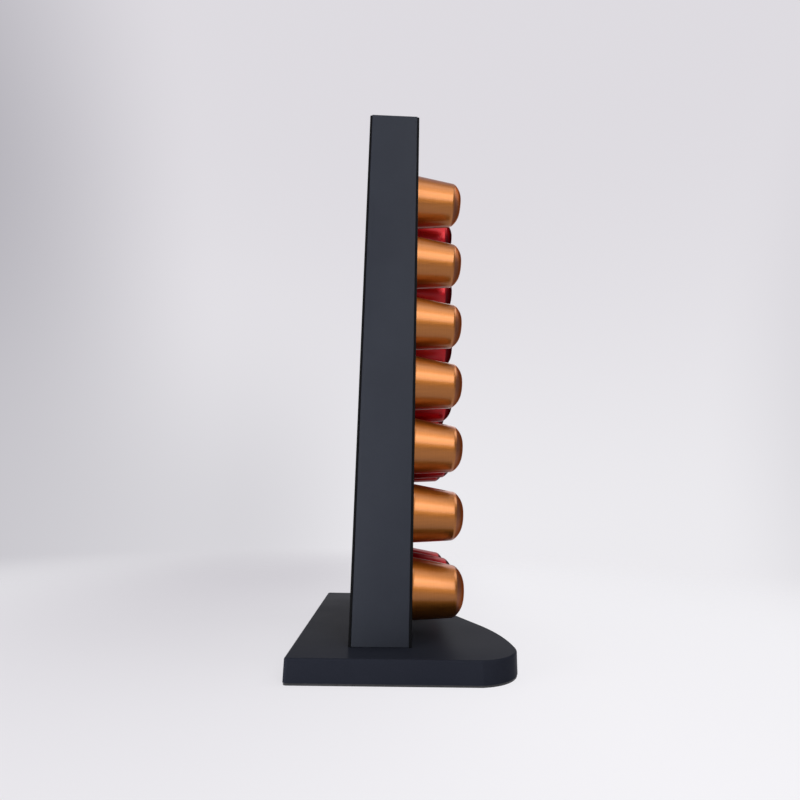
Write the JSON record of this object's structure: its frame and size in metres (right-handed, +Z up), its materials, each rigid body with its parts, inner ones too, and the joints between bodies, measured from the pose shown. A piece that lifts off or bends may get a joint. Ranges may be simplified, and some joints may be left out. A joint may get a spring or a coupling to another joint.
{
  "type": "coffee capsule holder",
  "caption": "Free-standing upright coffee capsule holder on a swept base; slotted channels hold the capsules by their rims and let them slide up and out at the open top.",
  "frame": {"origin": "under the middle of the base, on the surface that it stands on", "axes": "+Z up; the capsules and the swept edge of the base face -Y; +X is to the right seen from the front"},
  "size_m": [0.177, 0.109, 0.315],
  "materials": {
    "board_paint": "satin anthracite paint on board",
    "sheet_coat": "matt black powder coat",
    "felt": "pressed felt",
    "beech": "plain beech",
    "steel": "zinc plated",
    "copper_cup": "brushed, copper lacquer",
    "red_cup": "brushed, red lacquer",
    "foil": "plain foil"
  },
  "bodies": {
    "holder": {"base_plate": "board_paint", "felt_sheet": "felt", "back_board": "board_paint", "left_cheek": "board_paint", "right_cheek": "board_paint", "divider_left": "board_paint", "divider_right": "board_paint", "bottom_rail": "board_paint", "front_plate": "sheet_coat", "back_plate": "sheet_coat", "dowels": "beech", "base_screws": "steel"},
    "left_capsule_1": {"left_cup_1": "copper_cup", "left_foil_1": "foil"},
    "left_capsule_2": {"left_cup_2": "copper_cup", "left_foil_2": "foil"},
    "left_capsule_3": {"left_cup_3": "copper_cup", "left_foil_3": "foil"},
    "left_capsule_4": {"left_cup_4": "copper_cup", "left_foil_4": "foil"},
    "left_capsule_5": {"left_cup_5": "copper_cup", "left_foil_5": "foil"},
    "left_capsule_6": {"left_cup_6": "copper_cup", "left_foil_6": "foil"},
    "left_capsule_7": {"left_cup_7": "copper_cup", "left_foil_7": "foil"},
    "middle_capsule_1": {"middle_cup_1": "red_cup", "middle_foil_1": "foil"},
    "middle_capsule_2": {"middle_cup_2": "red_cup", "middle_foil_2": "foil"},
    "middle_capsule_3": {"middle_cup_3": "red_cup", "middle_foil_3": "foil"},
    "middle_capsule_4": {"middle_cup_4": "red_cup", "middle_foil_4": "foil"},
    "middle_capsule_5": {"middle_cup_5": "red_cup", "middle_foil_5": "foil"},
    "middle_capsule_6": {"middle_cup_6": "red_cup", "middle_foil_6": "foil"},
    "middle_capsule_7": {"middle_cup_7": "red_cup", "middle_foil_7": "foil"},
    "right_capsule_1": {"right_cup_1": "red_cup", "right_foil_1": "foil"},
    "right_capsule_2": {"right_cup_2": "red_cup", "right_foil_2": "foil"},
    "right_capsule_3": {"right_cup_3": "red_cup", "right_foil_3": "foil"},
    "right_capsule_4": {"right_cup_4": "red_cup", "right_foil_4": "foil"},
    "right_capsule_5": {"right_cup_5": "red_cup", "right_foil_5": "foil"},
    "right_capsule_6": {"right_cup_6": "red_cup", "right_foil_6": "foil"},
    "right_capsule_7": {"right_cup_7": "red_cup", "right_foil_7": "foil"}
  },
  "joints": [
    {"name": "left_lift_1", "type": "slide", "parent": "left_capsule_2", "child": "left_capsule_1", "axis": [0, 0, 1], "range_m": [0, 0.066]},
    {"name": "left_lift_2", "type": "slide", "parent": "left_capsule_3", "child": "left_capsule_2", "axis": [0, 0, 1], "range_m": [0, 0.066]},
    {"name": "left_lift_3", "type": "slide", "parent": "left_capsule_4", "child": "left_capsule_3", "axis": [0, 0, 1], "range_m": [0, 0.066]},
    {"name": "left_lift_4", "type": "slide", "parent": "left_capsule_5", "child": "left_capsule_4", "axis": [0, 0, 1], "range_m": [0, 0.066]},
    {"name": "left_lift_5", "type": "slide", "parent": "left_capsule_6", "child": "left_capsule_5", "axis": [0, 0, 1], "range_m": [0, 0.066]},
    {"name": "left_lift_6", "type": "slide", "parent": "left_capsule_7", "child": "left_capsule_6", "axis": [0, 0, 1], "range_m": [0, 0.066]},
    {"name": "left_lift_7", "type": "slide", "parent": "holder", "child": "left_capsule_7", "axis": [0, 0, 1], "range_m": [0, 0.066]},
    {"name": "middle_lift_1", "type": "slide", "parent": "middle_capsule_2", "child": "middle_capsule_1", "axis": [0, 0, 1], "range_m": [0, 0.066]},
    {"name": "middle_lift_2", "type": "slide", "parent": "middle_capsule_3", "child": "middle_capsule_2", "axis": [0, 0, 1], "range_m": [0, 0.066]},
    {"name": "middle_lift_3", "type": "slide", "parent": "middle_capsule_4", "child": "middle_capsule_3", "axis": [0, 0, 1], "range_m": [0, 0.066]},
    {"name": "middle_lift_4", "type": "slide", "parent": "middle_capsule_5", "child": "middle_capsule_4", "axis": [0, 0, 1], "range_m": [0, 0.066]},
    {"name": "middle_lift_5", "type": "slide", "parent": "middle_capsule_6", "child": "middle_capsule_5", "axis": [0, 0, 1], "range_m": [0, 0.066]},
    {"name": "middle_lift_6", "type": "slide", "parent": "middle_capsule_7", "child": "middle_capsule_6", "axis": [0, 0, 1], "range_m": [0, 0.066]},
    {"name": "middle_lift_7", "type": "slide", "parent": "holder", "child": "middle_capsule_7", "axis": [0, 0, 1], "range_m": [0, 0.066]},
    {"name": "right_lift_1", "type": "slide", "parent": "right_capsule_2", "child": "right_capsule_1", "axis": [0, 0, 1], "range_m": [0, 0.066]},
    {"name": "right_lift_2", "type": "slide", "parent": "right_capsule_3", "child": "right_capsule_2", "axis": [0, 0, 1], "range_m": [0, 0.066]},
    {"name": "right_lift_3", "type": "slide", "parent": "right_capsule_4", "child": "right_capsule_3", "axis": [0, 0, 1], "range_m": [0, 0.066]},
    {"name": "right_lift_4", "type": "slide", "parent": "right_capsule_5", "child": "right_capsule_4", "axis": [0, 0, 1], "range_m": [0, 0.066]},
    {"name": "right_lift_5", "type": "slide", "parent": "right_capsule_6", "child": "right_capsule_5", "axis": [0, 0, 1], "range_m": [0, 0.066]},
    {"name": "right_lift_6", "type": "slide", "parent": "right_capsule_7", "child": "right_capsule_6", "axis": [0, 0, 1], "range_m": [0, 0.066]},
    {"name": "right_lift_7", "type": "slide", "parent": "holder", "child": "right_capsule_7", "axis": [0, 0, 1], "range_m": [0, 0.066]}
  ]
}
